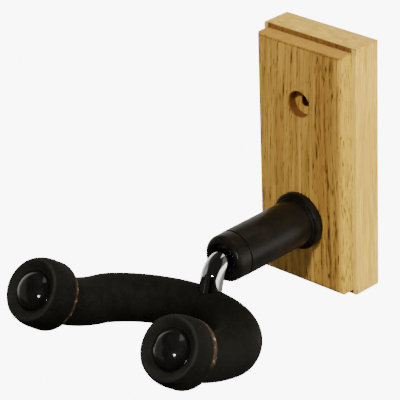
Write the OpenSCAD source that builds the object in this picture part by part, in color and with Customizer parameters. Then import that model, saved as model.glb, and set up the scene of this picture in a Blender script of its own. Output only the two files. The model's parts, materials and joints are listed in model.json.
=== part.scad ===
// Wall guitar hanger: an oak block screws to the wall, a bent steel rod swivels in a black
// arm tube on its front, and a padded U-shaped yoke on the rod holds the guitar's headstock.
// Units are millimetres. The origin is the centre of the block's wall face: +Z is up and
// -Y points out of the wall, along the arm.

/* [Wood block] */
// Height of the block
block_h = 127; // [120:1:150]
// Width of the block
block_w = 56; // [50:1:80]
// Thickness of the block at its raised front panel
block_t = 24.5; // [24:0.5:28]
// How far the raised panel stands in front of the edge ledge
panel_rise = 8.2; // [4:0.1:10]
// Width of the ledge around the raised panel
ledge_w = 2.1; // [1:0.1:4]
// Radius of the rounded edge around the front of the panel
panel_edge_r = 2.4; // [0.5:0.1:3.5]
// Height of the wall screw's hole above the block's centre
screw_z = 31.3; // [20:0.1:45]
// Diameter of the wall screw's clearance hole
screw_d = 5; // [4:0.1:6]
// Diameter of the counterbore for the wall screw's head
screw_head_d = 12.8; // [9:0.1:16]
// Depth of the counterbore for the wall screw's head
screw_head_deep = 5; // [2:0.1:8]

/* [Arm] */
// Height of the arm's axis, below the block's centre
arm_z = -28.5; // [-35:0.1:-15]
// Diameter of the flange against the block
flange_d = 28.4; // [26:0.1:34]
// Thickness of the flange against the block
flange_t = 5; // [4:0.1:8]
// Outside diameter of the arm tube
tube_d = 23.2; // [22.6:0.1:26]
// Wall of the arm tube
tube_wall = 2; // [1.5:0.1:2.2]
// Distance from the wall to the front face of the arm
arm_reach = 80; // [70:0.5:110]
// Visible length of the cap on the front of the tube
cap_len = 8.8; // [7:0.1:10]
// Diameter of the cap on the front of the tube
cap_d = 23; // [22.6:0.1:24]

/* [Swivel rod] */
// Diameter of the swivel rod
rod_d = 11; // [10:0.1:11.2]
// How far behind the arm's front face the rod starts to bend
bend_inset = 2; // [1:0.1:2]
// Radius of the rod's bend, on its centre line
rod_bend_r = 9; // [8:0.5:16]
// Forward lean of the rod's leg, away from vertical
rod_lean = 16.5; // [5:0.5:20]
// Length of the straight leg, from the bend to the yoke's centre line
leg_len = 16.7; // [16:0.1:30]

/* [Yoke] */
// Diameter of the yoke rod inside the padding
yoke_rod_d = 12; // [11.6:0.1:12.5]
// Outside diameter of the rubber sleeves
sleeve_d = 22.8; // [18:0.1:26]
// Radius of the wide bend at the back of the yoke
yoke_back_r = 43.4; // [38:0.1:60]
// Angle of the wide bend on each side of the middle
yoke_back_angle = 64; // [50:0.5:66]
// Radius of the tighter corner bend
yoke_corner_r = 14.5; // [13:0.5:24]
// Angle of the tighter corner bend
yoke_corner_angle = 22.5; // [15:0.5:24]
// Upward tilt of the yoke towards its open end
yoke_tilt = 10; // [0:0.5:15]
// Radius of the upward bend of each arm
arm_rise_r = 69; // [40:1:90]
// Angle of the upward bend of each arm
arm_rise_angle = 25; // [10:0.5:35]

/* [End bumpers] */
// Diameter of the rubber bumper on each tip
bumper_d = 32.8; // [31:0.1:40]
// Thickness of the rubber bumper
bumper_t = 16; // [13:0.1:20]
// Length over which the bumper's side curves in towards its front lip
bumper_crown_len = 8; // [4:0.1:9]
// Radius of that curve
bumper_crown_r = 19.6; // [14:0.1:30]
// Radius of the bumper's front lip
bumper_lip_r = 1.2; // [0.8:0.1:1.6]
// Radius of the bumper's back edge
bumper_back_r = 2.4; // [1:0.1:4]
// Diameter of the dome cap on the bumper
dome_d = 20.3; // [19.6:0.1:23]
// Height of the dome cap
dome_h = 6.6; // [6.4:0.1:9]
// How deep the dome cap's rim sits in the dished front of the bumper
dome_inset = 2.7; // [1:0.1:5]

/* [Hidden] */
$fn = 96;

// Radial gap of a fixed fit, and of the swivel's running fit
fixed_gap = 0.05;
running_gap = 0.06;
// Overrun that carries a cutting shape clear through a face
cut = 1;
// Along a bent bar or tube, each stretch laps back into the one before it and is this much
// thinner in the skin, so that the stretches join into one solid
lap = 0.3;
lap_step = 0.02;

// Block
ledge_t = block_t - panel_rise;

// Rear pocket of the block, and the stack of parts in it, measured out from the wall
pocket_d = 25;
pocket_floor = 15;
bushing_wall = 2.5;
bushing_flange_t = 1.5;
bushing_bore_r = rod_d / 2 + running_gap;
rear_bushing_r = bushing_bore_r + bushing_wall;
rear_bushing_flange_d = 24;
rear_bushing_nose = 3;
washer_d = 20;
washer_t = 1.6;
spring_d = 16;
spring_t = 0.9;
spring_free_h = 1.25;
nut_h = 8;
nut_hex_h = 5.6;
nut_across_flats = 13;
nut_collar_d = 11.6;
nut_corner_r = nut_across_flats / 2 / cos(30);
insert_d = 9.6;
insert_t = 1.8;
insert_lip = 0.5;
thread_d = 8;
thread_clearance = 0.2;
rear_washer_z = pocket_floor - bushing_flange_t - washer_t;
spring_z = rear_washer_z - spring_free_h;
nut_z = spring_z - nut_h;
thread_past_nut = 1.3;
rod_end_z = nut_z - thread_past_nut;
shoulder_inset = 0.5;
shoulder_z = pocket_floor - bushing_flange_t + shoulder_inset;
thread_chamfer = 0.8;

// Arm stack, measured out from the wall
tube_r = tube_d / 2;
tube_bore_r = tube_r - tube_wall;
tube_z0 = block_t + flange_t;
tube_z1 = arm_reach - cap_len;
spigot_len = 10;
spigot_r = tube_bore_r - fixed_gap;
seam_edge_r = 0.4;
flange_edge_r = 1.8;
flange_bore_r = rod_d / 2 + 1;
bushing_end_gap = 0.2;
cap_edge_r = 3.2;
cap_neck_r = cap_d / 2 - 0.6;
cap_neck_len = 0.7;
recess_d = 15.6;
recess_deep = 6;
recess_floor = arm_reach - recess_deep;
front_bushing_wall = 1.4;
front_bushing_r = bushing_bore_r + front_bushing_wall;
front_bushing_flange_d = 15;
front_flange_t = 1.2;
thrust_washer_d = 14.4;
thrust_washer_t = 0.8;
ring_d = 14.2;
ring_t = 1.2;
ring_z = recess_floor + front_flange_t + thrust_washer_t;
ring_groove_deep = 0.4;
ring_side_gap = 0.05;
ring_opening = 5;

// Rod and yoke
rod_r = rod_d / 2;
bend_z = arm_reach - bend_inset;
bend_angle = 90 - rod_lean;
yoke_out = bend_z + rod_bend_r * sin(bend_angle) + leg_len * cos(bend_angle);
yoke_down = rod_bend_r * (1 - cos(bend_angle)) + leg_len * sin(bend_angle);
yoke_rod_r = yoke_rod_d / 2;
sleeve_r = sleeve_d / 2;
sleeve_bore_r = yoke_rod_r + fixed_gap;
sleeve_joint = 0.1;
leg_hole_gap = 0.2;
leg_hole_r = rod_r + leg_hole_gap;

// Tip stack, measured forward from the back of the bumper
dome_seat = bumper_t - dome_inset;
dome_gap = 0.15;
dish_r = dome_d / 2 + dome_gap;

// Bumper section, as [radius, height]: the side's curve runs into the lip, and the dish off it
crown_center = [bumper_d / 2 - bumper_crown_r, bumper_t - bumper_crown_len];
crown_angle = asin((bumper_crown_len - bumper_lip_r) / (bumper_crown_r - bumper_lip_r));
crown_way = [cos(crown_angle), sin(crown_angle)];
crown_end = crown_center + bumper_crown_r * crown_way;
lip_center = crown_center + (bumper_crown_r - bumper_lip_r) * crown_way;
dish_to_lip = lip_center - [dish_r, dome_seat];
dish_angle = atan2(dish_to_lip[1], dish_to_lip[0]) + asin(bumper_lip_r / norm(dish_to_lip));
dish_len = sqrt(pow(norm(dish_to_lip), 2) - pow(bumper_lip_r, 2));
dish_end = [dish_r + dish_len * cos(dish_angle), dome_seat + dish_len * sin(dish_angle)];
tip_stub = 3.2;
tip_chamfer = 0.8;
end_washer_d = 16.2;
end_washer_t = 1;
push_nut_d = 15;
push_nut_t = 0.8;
push_nut_teeth = 6;
push_nut_slot_w = 1;
push_nut_slot_len = 0.9;
dome_wall = 1;
dome_sphere_r = (pow(dome_d / 2, 2) + pow(dome_h, 2)) / (2 * dome_h);

// ---------- Frames ----------

// Children stand on the wall plane, on the arm's axis: their +Z runs out of the wall, +Y up.
module arm_frame() {
    translate([0, 0, arm_z])
        rotate([90, 0, 0])
            children();
}

// Children are centred on the middle of the yoke's back: -Y runs to its open end, +Z is up.
module yoke_frame() {
    translate([0, -yoke_out, arm_z - yoke_down])
        rotate([-yoke_tilt, 0, 0])
            children();
}

// Children start at the middle of the yoke's back and run sideways along their own +Z.
module side_frame(side) {
    yoke_frame()
        mirror([side < 0 ? 1 : 0, 0, 0])
            rotate([-90, 0, 0])
                rotate([0, 90, 0])
                    children();
}

// Children stand on the end of a bend.
module after_bend(bend_r, angle) {
    translate([bend_r * (1 - cos(angle)), 0, bend_r * sin(angle)])
        rotate([0, angle, 0])
            children();
}

// Children stand where the arm's upward bend begins.
module rise_frame(side) {
    side_frame(side)
        after_bend(yoke_back_r, yoke_back_angle)
            after_bend(yoke_corner_r, yoke_corner_angle)
                rotate([0, 0, -90])
                    children();
}

// Children stand on the tip of one arm, at the back of its bumper.
module tip_frame(side) {
    rise_frame(side)
        after_bend(arm_rise_r, arm_rise_angle)
            children();
}

// ---------- Shapes ----------

// A round bar or tube that starts upright and bends towards its +X, as the given stretch of
// its run. A stretch after the first laps back into the one before it.
module bend(bend_r, angle, outer_r, inner_r = 0, stretch = 0) {
    lap_angle = stretch > 0 ? lap / bend_r * 180 / PI : 0;
    translate([bend_r, 0, 0])
        rotate([90, 0, 0])
            rotate([0, 0, 180 - angle])
                rotate_extrude(angle = angle + lap_angle)
                    translate([bend_r, 0])
                        ring_2d(
                            outer_r - stretch * lap_step,
                            inner_r > 0 ? inner_r + stretch * lap_step : 0
                        );
}

// A straight bar that laps back into the stretch before it.
module straight(height, outer_r, stretch) {
    translate([0, 0, -lap])
        cylinder(h = height + lap, r = outer_r - stretch * lap_step);
}

module ring_2d(outer_r, inner_r) {
    difference() {
        circle(r = outer_r);
        if (inner_r > 0)
            circle(r = inner_r);
    }
}

// A tube with a plain bore.
module ring(height, outer_r, inner_r) {
    difference() {
        cylinder(h = height, r = outer_r);
        translate([0, 0, -cut])
            cylinder(h = height + 2 * cut, r = inner_r);
    }
}

// What a chamfer takes off the top of a bar whose chamfer starts at z = 0.
module chamfer_cutter(size, outer_r) {
    difference() {
        cylinder(h = size + cut, r = outer_r + cut);
        translate([0, 0, -cut])
            cylinder(h = size + 2 * cut, r1 = outer_r + cut, r2 = outer_r - size - cut);
    }
}

// A disc from z = 0 whose lower and upper outside edges are rounded to their own radii.
module rounded_disc(height, outer_r, low_edge_r, high_edge_r) {
    rotate_extrude()
        difference() {
            square([outer_r, height]);
            translate([outer_r - low_edge_r, low_edge_r])
                rotate([0, 0, -90])
                    edge_cutter(low_edge_r);
            translate([outer_r - high_edge_r, height - high_edge_r])
                edge_cutter(high_edge_r);
        }
}

// The sharp corner outside a quarter round about the origin.
module edge_cutter(edge_r) {
    difference() {
        square(edge_r + cut);
        circle(r = edge_r);
    }
}

// Section across the block: full width at the wall, then a ledge and a round-edged panel.
module block_section(width) {
    panel_w = width - 2 * ledge_w;
    translate([-width / 2, 0])
        square([width, ledge_t]);
    difference() {
        translate([-panel_w / 2, 0])
            square([panel_w, block_t]);
        for (side = [0, 1])
            mirror([side, 0])
                translate([panel_w / 2 - panel_edge_r, block_t - panel_edge_r])
                    edge_cutter(panel_edge_r);
    }
}

// ---------- Fixed parts ----------

module wood_block() {
    color("burlywood")
        difference() {
            intersection() {
                translate([0, 0, -block_h / 2])
                    linear_extrude(block_h)
                        mirror([0, 1])
                            block_section(block_w);
                rotate([0, 90, 0])
                    translate([0, 0, -block_w / 2])
                        linear_extrude(block_w)
                            mirror([0, 1])
                                block_section(block_h);
            }
            translate([0, cut, screw_z])
                rotate([90, 0, 0])
                    cylinder(h = block_t + 2 * cut, d = screw_d);
            translate([0, -(block_t - screw_head_deep), screw_z])
                rotate([90, 0, 0])
                    cylinder(h = screw_head_deep + cut, d = screw_head_d);
            arm_frame() {
                translate([0, 0, -cut])
                    cylinder(h = block_t + 2 * cut, r = rear_bushing_r + fixed_gap);
                translate([0, 0, -cut])
                    cylinder(h = pocket_floor + cut, d = pocket_d);
            }
        }
}

// Flanged sleeve in the block that carries the back of the rod and centres the arm's flange.
module rear_bushing() {
    color("ivory")
        arm_frame()
            difference() {
                union() {
                    translate([0, 0, pocket_floor - bushing_flange_t])
                        cylinder(h = bushing_flange_t, d = rear_bushing_flange_d);
                    translate([0, 0, pocket_floor - bushing_flange_t])
                        cylinder(
                            h = block_t + rear_bushing_nose - pocket_floor + bushing_flange_t,
                            r = rear_bushing_r
                        );
                }
                cylinder(h = arm_reach, r = bushing_bore_r);
            }
}

// Collar against the block, with a spigot that plugs into the back of the tube.
module base_flange() {
    color("dimgray")
        arm_frame()
            translate([0, 0, block_t])
                difference() {
                    union() {
                        rounded_disc(flange_t, flange_d / 2, seam_edge_r, flange_edge_r);
                        cylinder(h = flange_t + spigot_len, r = spigot_r);
                    }
                    translate([0, 0, -cut])
                        cylinder(h = flange_t + spigot_len + 2 * cut, r = flange_bore_r);
                    translate([0, 0, -cut])
                        cylinder(
                            h = rear_bushing_nose + bushing_end_gap + cut,
                            r = rear_bushing_r + fixed_gap
                        );
                }
}

module spacer_tube() {
    color("black")
        arm_frame()
            translate([0, 0, tube_z0])
                ring(tube_z1 - tube_z0, tube_r, tube_bore_r);
}

// Cap that plugs into the front of the tube: a seam groove, a rounded lip and a recess.
module front_cap() {
    color("dimgray")
        arm_frame()
            difference() {
                union() {
                    translate([0, 0, tube_z1 + cap_neck_len])
                        rounded_disc(cap_len - cap_neck_len, cap_d / 2, seam_edge_r, cap_edge_r);
                    translate([0, 0, tube_z1])
                        cylinder(h = cap_len / 2, r = cap_neck_r);
                    translate([0, 0, tube_z1 - spigot_len])
                        cylinder(h = spigot_len + cap_len / 2, r = spigot_r);
                }
                translate([0, 0, tube_z1 - spigot_len - cut])
                    cylinder(h = arm_reach, r = front_bushing_r + fixed_gap);
                translate([0, 0, recess_floor])
                    cylinder(h = recess_deep + cut, d = recess_d);
            }
}

// Flanged sleeve in the cap that carries the front of the rod.
module front_bushing() {
    color("ivory")
        arm_frame()
            difference() {
                union() {
                    translate([0, 0, recess_floor])
                        cylinder(h = front_flange_t, d = front_bushing_flange_d);
                    translate([0, 0, tube_z1 - spigot_len])
                        cylinder(
                            h = recess_floor - tube_z1 + spigot_len + front_flange_t,
                            r = front_bushing_r
                        );
                }
                cylinder(h = arm_reach, r = bushing_bore_r);
            }
}

// ---------- Swivel parts ----------

// Threaded end, straight shaft with a ring groove, one bend, and a leg coped over the yoke rod.
module swivel_rod() {
    color("silver")
        difference() {
            arm_frame() {
                difference() {
                    union() {
                        translate([0, 0, rod_end_z])
                            cylinder(h = shoulder_z - rod_end_z + cut, d = thread_d);
                        translate([0, 0, shoulder_z])
                            cylinder(h = bend_z - shoulder_z, r = rod_r);
                    }
                    translate([0, 0, rod_end_z + thread_chamfer])
                        mirror([0, 0, 1])
                            chamfer_cutter(thread_chamfer, thread_d / 2);
                    translate([0, 0, ring_z - ring_side_gap])
                        ring(ring_t + 2 * ring_side_gap, rod_r + cut, rod_r - ring_groove_deep);
                }
                translate([0, 0, bend_z])
                    rotate([0, 0, -90]) {
                        bend(rod_bend_r, bend_angle, rod_r, stretch = 1);
                        after_bend(rod_bend_r, bend_angle)
                            straight(leg_len, rod_r, stretch = 2);
                    }
            }
            yoke_back(yoke_rod_r);
        }
}

module thrust_washer() {
    color("gainsboro")
        arm_frame()
            translate([0, 0, recess_floor + front_flange_t])
                ring(thrust_washer_t, thrust_washer_d / 2, bushing_bore_r);
}

// Open spring ring in the rod's groove, with its gap at the bottom.
module retaining_ring() {
    color("darkslategray")
        arm_frame()
            translate([0, 0, ring_z])
                difference() {
                    ring(ring_t, ring_d / 2, rod_r - ring_groove_deep + fixed_gap);
                    translate([-ring_opening / 2, -ring_d, -cut])
                        cube([ring_opening, ring_d, ring_t + 2 * cut]);
                }
}

module rear_washer() {
    color("silver")
        arm_frame()
            translate([0, 0, rear_washer_z])
                ring(washer_t, washer_d / 2, thread_d / 2 + thread_clearance);
}

// Coned spring washer that keeps a steady drag on the swivel.
module disc_spring() {
    inner_r = thread_d / 2 + thread_clearance;
    outer_r = spring_d / 2;
    cone_h = spring_free_h - spring_t;
    color("darkgray")
        arm_frame()
            translate([0, 0, spring_z])
                rotate_extrude()
                    polygon([
                        [inner_r, 0],
                        [outer_r, cone_h],
                        [outer_r, spring_free_h],
                        [inner_r, spring_t]
                    ]);
}

// Locking nut: a hexagon with a round collar that holds the nylon ring.
module lock_nut() {
    color("silver")
        arm_frame()
            translate([0, 0, nut_z])
                difference() {
                    union() {
                        translate([0, 0, nut_h - nut_hex_h])
                            cylinder(h = nut_hex_h, r = nut_corner_r, $fn = 6);
                        cylinder(h = nut_h, d = nut_collar_d);
                    }
                    translate([0, 0, -cut])
                        cylinder(h = nut_h + 2 * cut, d = thread_d + 2 * fixed_gap);
                    translate([0, 0, insert_lip])
                        cylinder(h = insert_t, d = insert_d);
                }
}

module nut_insert() {
    color("royalblue")
        arm_frame()
            translate([0, 0, nut_z + insert_lip])
                ring(insert_t, insert_d / 2 - fixed_gap, thread_d / 2 + fixed_gap);
}

// ---------- Yoke ----------

// The wide bend across the back of the yoke, on both sides of its middle.
module yoke_back(outer_r) {
    yoke_frame()
        translate([0, -yoke_back_r, 0])
            rotate([0, 0, 90 - yoke_back_angle])
                rotate_extrude(angle = 2 * yoke_back_angle)
                    translate([yoke_back_r, 0])
                        circle(r = outer_r);
}

module yoke_rod() {
    color("gray")
        union() {
            yoke_back(yoke_rod_r);
            for (side = [-1, 1]) {
                side_frame(side)
                    after_bend(yoke_back_r, yoke_back_angle)
                        bend(yoke_corner_r, yoke_corner_angle, yoke_rod_r, stretch = 1);
                rise_frame(side)
                    bend(arm_rise_r, arm_rise_angle, yoke_rod_r, stretch = 2);
                tip_frame(side)
                    difference() {
                        straight(dome_seat + tip_stub, yoke_rod_r, stretch = 3);
                        translate([0, 0, dome_seat + tip_stub - tip_chamfer])
                            chamfer_cutter(tip_chamfer, yoke_rod_r);
                    }
            }
        }
}

// Rubber tube over one half of the yoke, notched where the leg comes in at the middle.
module sleeve(side) {
    color("#1b1a17")
        difference() {
            union() {
                side_frame(side)
                    bend(yoke_back_r, yoke_back_angle, sleeve_r, sleeve_bore_r);
                side_frame(side)
                    after_bend(yoke_back_r, yoke_back_angle)
                        bend(yoke_corner_r, yoke_corner_angle, sleeve_r, sleeve_bore_r, 1);
                rise_frame(side)
                    bend(arm_rise_r, arm_rise_angle, sleeve_r, sleeve_bore_r, 2);
            }
            arm_frame()
                translate([0, 0, bend_z])
                    rotate([0, 0, -90])
                        after_bend(rod_bend_r, bend_angle)
                            translate([0, 0, leg_len - 2 * sleeve_r])
                                cylinder(h = 2 * sleeve_r, r = leg_hole_r);
            yoke_frame()
                cube([sleeve_joint, 2 * sleeve_d, 2 * sleeve_d], center = true);
        }
}

module sleeve_left() {
    sleeve(-1);
}

module sleeve_right() {
    sleeve(1);
}

// Half section of the bumper without its bore: a crowned side, a round lip and a dished front.
module bumper_section() {
    difference() {
        union() {
            polygon([
                [0, 0], [bumper_d / 2, 0], [bumper_d / 2, crown_center[1]],
                crown_end, lip_center, dish_end, [dish_r, dome_seat], [0, dome_seat]
            ]);
            intersection() {
                translate(crown_center)
                    circle(r = bumper_crown_r);
                polygon([
                    [0, crown_center[1]], [bumper_d, crown_center[1]],
                    crown_center + 2 * bumper_crown_r * crown_way, lip_center
                ]);
            }
            translate(lip_center)
                circle(r = bumper_lip_r);
        }
        translate([bumper_d / 2 - bumper_back_r, bumper_back_r])
            rotate([0, 0, -90])
                edge_cutter(bumper_back_r);
    }
}

module bumper(side) {
    color("#1b1a17")
        tip_frame(side)
            difference() {
                rotate_extrude()
                    bumper_section();
                translate([0, 0, -cut])
                    cylinder(h = bumper_t + 2 * cut, r = sleeve_bore_r);
            }
}

module bumper_left() {
    bumper(-1);
}

module bumper_right() {
    bumper(1);
}

module end_washers() {
    color("silver")
        for (side = [-1, 1])
            tip_frame(side)
                translate([0, 0, dome_seat])
                    ring(end_washer_t, end_washer_d / 2, sleeve_bore_r);
}

// Spring rings that grip the ends of the yoke rod with a circle of teeth.
module push_nuts() {
    color("darkgray")
        for (side = [-1, 1])
            tip_frame(side)
                translate([0, 0, dome_seat + end_washer_t])
                    difference() {
                        ring(push_nut_t, push_nut_d / 2, sleeve_bore_r);
                        for (tooth = [0:push_nut_teeth - 1])
                            rotate([0, 0, tooth * 360 / push_nut_teeth])
                                translate([0, -push_nut_slot_w / 2, -cut])
                                    cube([
                                        sleeve_bore_r + push_nut_slot_len,
                                        push_nut_slot_w,
                                        push_nut_t + 2 * cut
                                    ]);
                    }
}

// Hollow domed cap over the push nut, with its rim down in the bumper's dished front.
module dome_cap(side) {
    color("black")
        tip_frame(side)
            translate([0, 0, dome_seat + dome_h - dome_sphere_r])
                rotate_extrude()
                    intersection() {
                        ring_2d(dome_sphere_r, dome_sphere_r - dome_wall);
                        translate([0, dome_sphere_r - dome_h])
                            square(dome_sphere_r + cut);
                    }
}

module dome_cap_left() {
    dome_cap(-1);
}

module dome_cap_right() {
    dome_cap(1);
}

wood_block();
rear_bushing();
base_flange();
spacer_tube();
front_cap();
front_bushing();
swivel_rod();
thrust_washer();
retaining_ring();
rear_washer();
disc_spring();
lock_nut();
nut_insert();
yoke_rod();
sleeve_left();
sleeve_right();
bumper_left();
bumper_right();
end_washers();
push_nuts();
dome_cap_left();
dome_cap_right();
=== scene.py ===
import json
import math

import bmesh
import bpy
from mathutils import Matrix, Vector


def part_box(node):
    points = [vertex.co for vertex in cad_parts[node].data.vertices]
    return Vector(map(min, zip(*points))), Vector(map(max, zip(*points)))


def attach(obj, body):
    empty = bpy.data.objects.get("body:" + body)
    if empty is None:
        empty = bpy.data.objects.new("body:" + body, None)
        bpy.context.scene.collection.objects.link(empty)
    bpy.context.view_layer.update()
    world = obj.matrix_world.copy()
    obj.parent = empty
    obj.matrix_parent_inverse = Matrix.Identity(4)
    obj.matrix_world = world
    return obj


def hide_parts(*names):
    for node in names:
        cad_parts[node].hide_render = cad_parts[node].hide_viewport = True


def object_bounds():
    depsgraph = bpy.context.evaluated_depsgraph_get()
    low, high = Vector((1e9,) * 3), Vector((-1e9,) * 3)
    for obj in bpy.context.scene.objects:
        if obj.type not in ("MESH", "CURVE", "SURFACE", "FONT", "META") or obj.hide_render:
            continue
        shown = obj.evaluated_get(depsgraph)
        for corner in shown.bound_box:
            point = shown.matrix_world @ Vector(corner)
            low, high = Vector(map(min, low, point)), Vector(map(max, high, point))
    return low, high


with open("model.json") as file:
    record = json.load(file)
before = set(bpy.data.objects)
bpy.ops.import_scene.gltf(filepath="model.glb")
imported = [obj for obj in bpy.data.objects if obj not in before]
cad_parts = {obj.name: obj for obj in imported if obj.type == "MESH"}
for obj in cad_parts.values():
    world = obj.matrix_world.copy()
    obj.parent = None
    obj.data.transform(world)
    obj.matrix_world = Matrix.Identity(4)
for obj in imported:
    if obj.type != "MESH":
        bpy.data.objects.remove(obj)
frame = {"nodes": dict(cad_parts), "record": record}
cad_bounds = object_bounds()

# Lengths are in metres, in the frame of the CAD: +Z up, -Y out of the wall along the arm.
MM = 0.001

# Driving sizes of the CAD that its boxes do not give
LEDGE_WIDTH = 2.1 * MM
PANEL_RISE = 8.2 * MM
PANEL_EDGE = 2.4 * MM
COUNTERBORE_RADIUS = 6.4 * MM
COUNTERBORE_DEPTH = 5 * MM
POCKET_RADIUS = 12.5 * MM
POCKET_DEPTH = 15 * MM
BUSHING_RADIUS = 8.11 * MM
BUSHING_NOSE = 3.2 * MM
TUBE_WALL = 2 * MM
SPIGOT_RADIUS = 9.55 * MM
FLANGE_BORE = 6.5 * MM
CAP_BORE = 7.01 * MM
ROD_RADIUS = 5.5 * MM
ROD_BEND = 9 * MM
ROD_LEAN = math.radians(16.5)
LEG_LENGTH = 16.7 * MM
BEND_INSET = 2 * MM
THREAD_RADIUS = 4 * MM
THREAD_PITCH = 1.25 * MM
THREAD_DEPTH = 0.35 * MM
SHOULDER = 14 * MM
RING_GROOVE = 76 * MM
RING_THICKNESS = 1.2 * MM
RING_GROOVE_DEPTH = 0.4 * MM
RECESS_DEPTH = 6 * MM
RECESS_RADIUS = 7.8 * MM
YOKE_ROD_RADIUS = 6 * MM
YOKE_BORE = 6.06 * MM
SLEEVE_RADIUS = 11.4 * MM
YOKE_TILT = math.radians(10)
# Radius and angle of each bend along one arm of the yoke
YOKE_BACK = (43.4 * MM, math.radians(64))
YOKE_CORNER = (14.5 * MM, math.radians(22.5))
ARM_RISE = (69 * MM, math.radians(25))

# Sizes of one tip, measured forward from the back of its bumper
BUMPER_RADIUS = 16.4 * MM
BUMPER_LENGTH = 16 * MM
BUMPER_BACK = 2.4 * MM
CROWN_LENGTH = 8 * MM
CROWN_RADIUS = 19.6 * MM
LIP_RADIUS = 1.2 * MM
DOME_RADIUS = 10.15 * MM
DOME_HEIGHT = 6.6 * MM
DOME_SEAT = 13.3 * MM
DOME_WALL = 1 * MM
DOME_GAP = 0.15 * MM

# A profile point nearer the axis than this is on it
ON_AXIS = 0.0001 * MM
# Edges sharper than this stay sharp in the shading
SMOOTH_ANGLE = math.radians(35)

# What the camera sees of the floor and of the sweep behind it
SWEEP_BRIGHTNESS = 9.0
LAMPS_AIM = Vector((0, -0.08, -0.02))

CAMERA_AZIMUTH = math.radians(43.79)
CAMERA_ELEVATION = math.radians(25.86)
CAMERA_ROLL = math.radians(-1.96)
CAMERA_LENS = 246.9465
CAMERA_OFFSET = Vector((-63.65, -24.75, 1311.49)) * MM


# ---------- Lines and outlines ----------


def fillet(corners, steps=8):
    """The closed outline through corners of (x, y, radius), each rounded to its radius."""
    points = []
    for index, (x, y, radius) in enumerate(corners):
        here = Vector((x, y))
        if radius == 0:
            points.append(here)
            continue
        before = (Vector(corners[index - 1][:2]) - here).normalized()
        after = (Vector(corners[(index + 1) % len(corners)][:2]) - here).normalized()
        half = before.angle(after) / 2
        centre = here + (before + after).normalized() * radius / math.sin(half)
        first = here + before * radius / math.tan(half) - centre
        last = here + after * radius / math.tan(half) - centre
        sweep = math.atan2(first.x * last.y - first.y * last.x, first.dot(last))
        for step in range(steps + 1):
            points.append(centre + Matrix.Rotation(sweep * step / steps, 2) @ first)
    return points


def arc(centre, radius, start, end, steps):
    """Points of an arc in a profile. Its angles turn from straight outwards to along the axis."""
    points = []
    for step in range(steps + 1):
        angle = start + (end - start) * step / steps
        point = Vector((math.sin(angle), math.cos(angle))) * radius
        points.append(Vector(centre) + point)
    return points


def stepped(start, end, step):
    """Distances from start to end, both included, about one step apart."""
    count = max(1, round(abs(end - start) / step))
    return [start + (end - start) * index / count for index in range(count + 1)]


def along(length, radius=0, heading=0):
    """The move along a straight, or along a bend towards the heading about +Z."""
    if radius == 0:
        return Matrix.Translation((0, 0, length))
    angle = length / radius
    turn = Matrix.Rotation(heading, 4, "Z")
    shift = Matrix.Translation((radius * (1 - math.cos(angle)), 0, radius * math.sin(angle)))
    return turn @ shift @ Matrix.Rotation(angle, 4, "Y") @ turn.inverted()


class Run:
    """A centre line of straights and bends. at(distance) is the frame there, +Z along it."""

    def __init__(self, start, moves=()):
        self.start = start
        self.moves = moves
        self.length = sum(move[0] for move in moves)

    def at(self, distance):
        here = self.start.copy()
        for length, radius, heading in self.moves:
            part = min(distance, length)
            here = here @ along(part, radius, heading)
            distance -= part
            if distance <= 0:
                return here
        return here @ along(distance)


def circle(place, radius, segments, relief=None):
    """Points about the +Z of a place. relief(angle) adds to the radius."""
    points = []
    for index in range(segments):
        angle = 2 * math.pi * index / segments
        reach = radius + (relief(angle) if relief else 0)
        points.append(place @ Vector((reach * math.cos(angle), reach * math.sin(angle), 0)))
    return points


# ---------- Mesh building ----------


def shade(mesh):
    mesh.shade_smooth()
    mesh.set_sharp_from_angle(angle=SMOOTH_ANGLE)


def finish_mesh(name, bm):
    bmesh.ops.recalc_face_normals(bm, faces=bm.faces)
    mesh = bpy.data.meshes.new(name)
    bm.to_mesh(mesh)
    bm.free()
    shade(mesh)
    obj = bpy.data.objects.new(name, mesh)
    bpy.context.scene.collection.objects.link(obj)
    return obj


def turned(name, profile, run, segments=96, relief=None):
    """A solid turned about a run. The profile is a closed outline of (distance, radius), and
    relief(distance, radius, angle) adds to its radius."""
    bm = bmesh.new()
    rings = []
    for distance, radius in profile:
        place = run.at(distance)
        if radius < ON_AXIS:
            rings.append([bm.verts.new(place.translation)])
            continue
        bend = (lambda angle: relief(distance, radius, angle)) if relief else None
        rings.append([bm.verts.new(point) for point in circle(place, radius, segments, bend)])
    for ring, after in zip(rings, rings[1:] + rings[:1]):
        for index in range(segments):
            following = (index + 1) % segments
            if len(ring) > 1 and len(after) > 1:
                bm.faces.new((ring[index], ring[following], after[following], after[index]))
            elif len(ring) > 1:
                bm.faces.new((ring[index], ring[following], after[0]))
            elif len(after) > 1:
                bm.faces.new((ring[0], after[following], after[index]))
    return finish_mesh(name, bm)


def cut_away(obj, *cutters):
    """Takes the cutters out of obj, merges the slivers that this leaves and deletes the cutters."""
    sliver = 0.001 * MM
    for cutter in cutters:
        modifier = obj.modifiers.new("cut", "BOOLEAN")
        modifier.operation = "DIFFERENCE"
        modifier.solver = "EXACT"
        modifier.object = cutter
    graph = bpy.context.evaluated_depsgraph_get()
    mesh = bpy.data.meshes.new_from_object(obj.evaluated_get(graph))
    bm = bmesh.new()
    bm.from_mesh(mesh)
    bmesh.ops.remove_doubles(bm, verts=bm.verts, dist=sliver)
    bmesh.ops.dissolve_degenerate(bm, edges=bm.edges, dist=sliver)
    bm.to_mesh(mesh)
    bm.free()
    obj.modifiers.clear()
    obj.data = mesh
    shade(mesh)
    for cutter in cutters:
        bpy.data.objects.remove(cutter)


def add_piece(obj, body, material, slot, *nodes):
    obj.data.materials.clear()
    obj.data.materials.append(material)
    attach(obj, body)
    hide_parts(*nodes)


# ---------- Materials ----------


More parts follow.
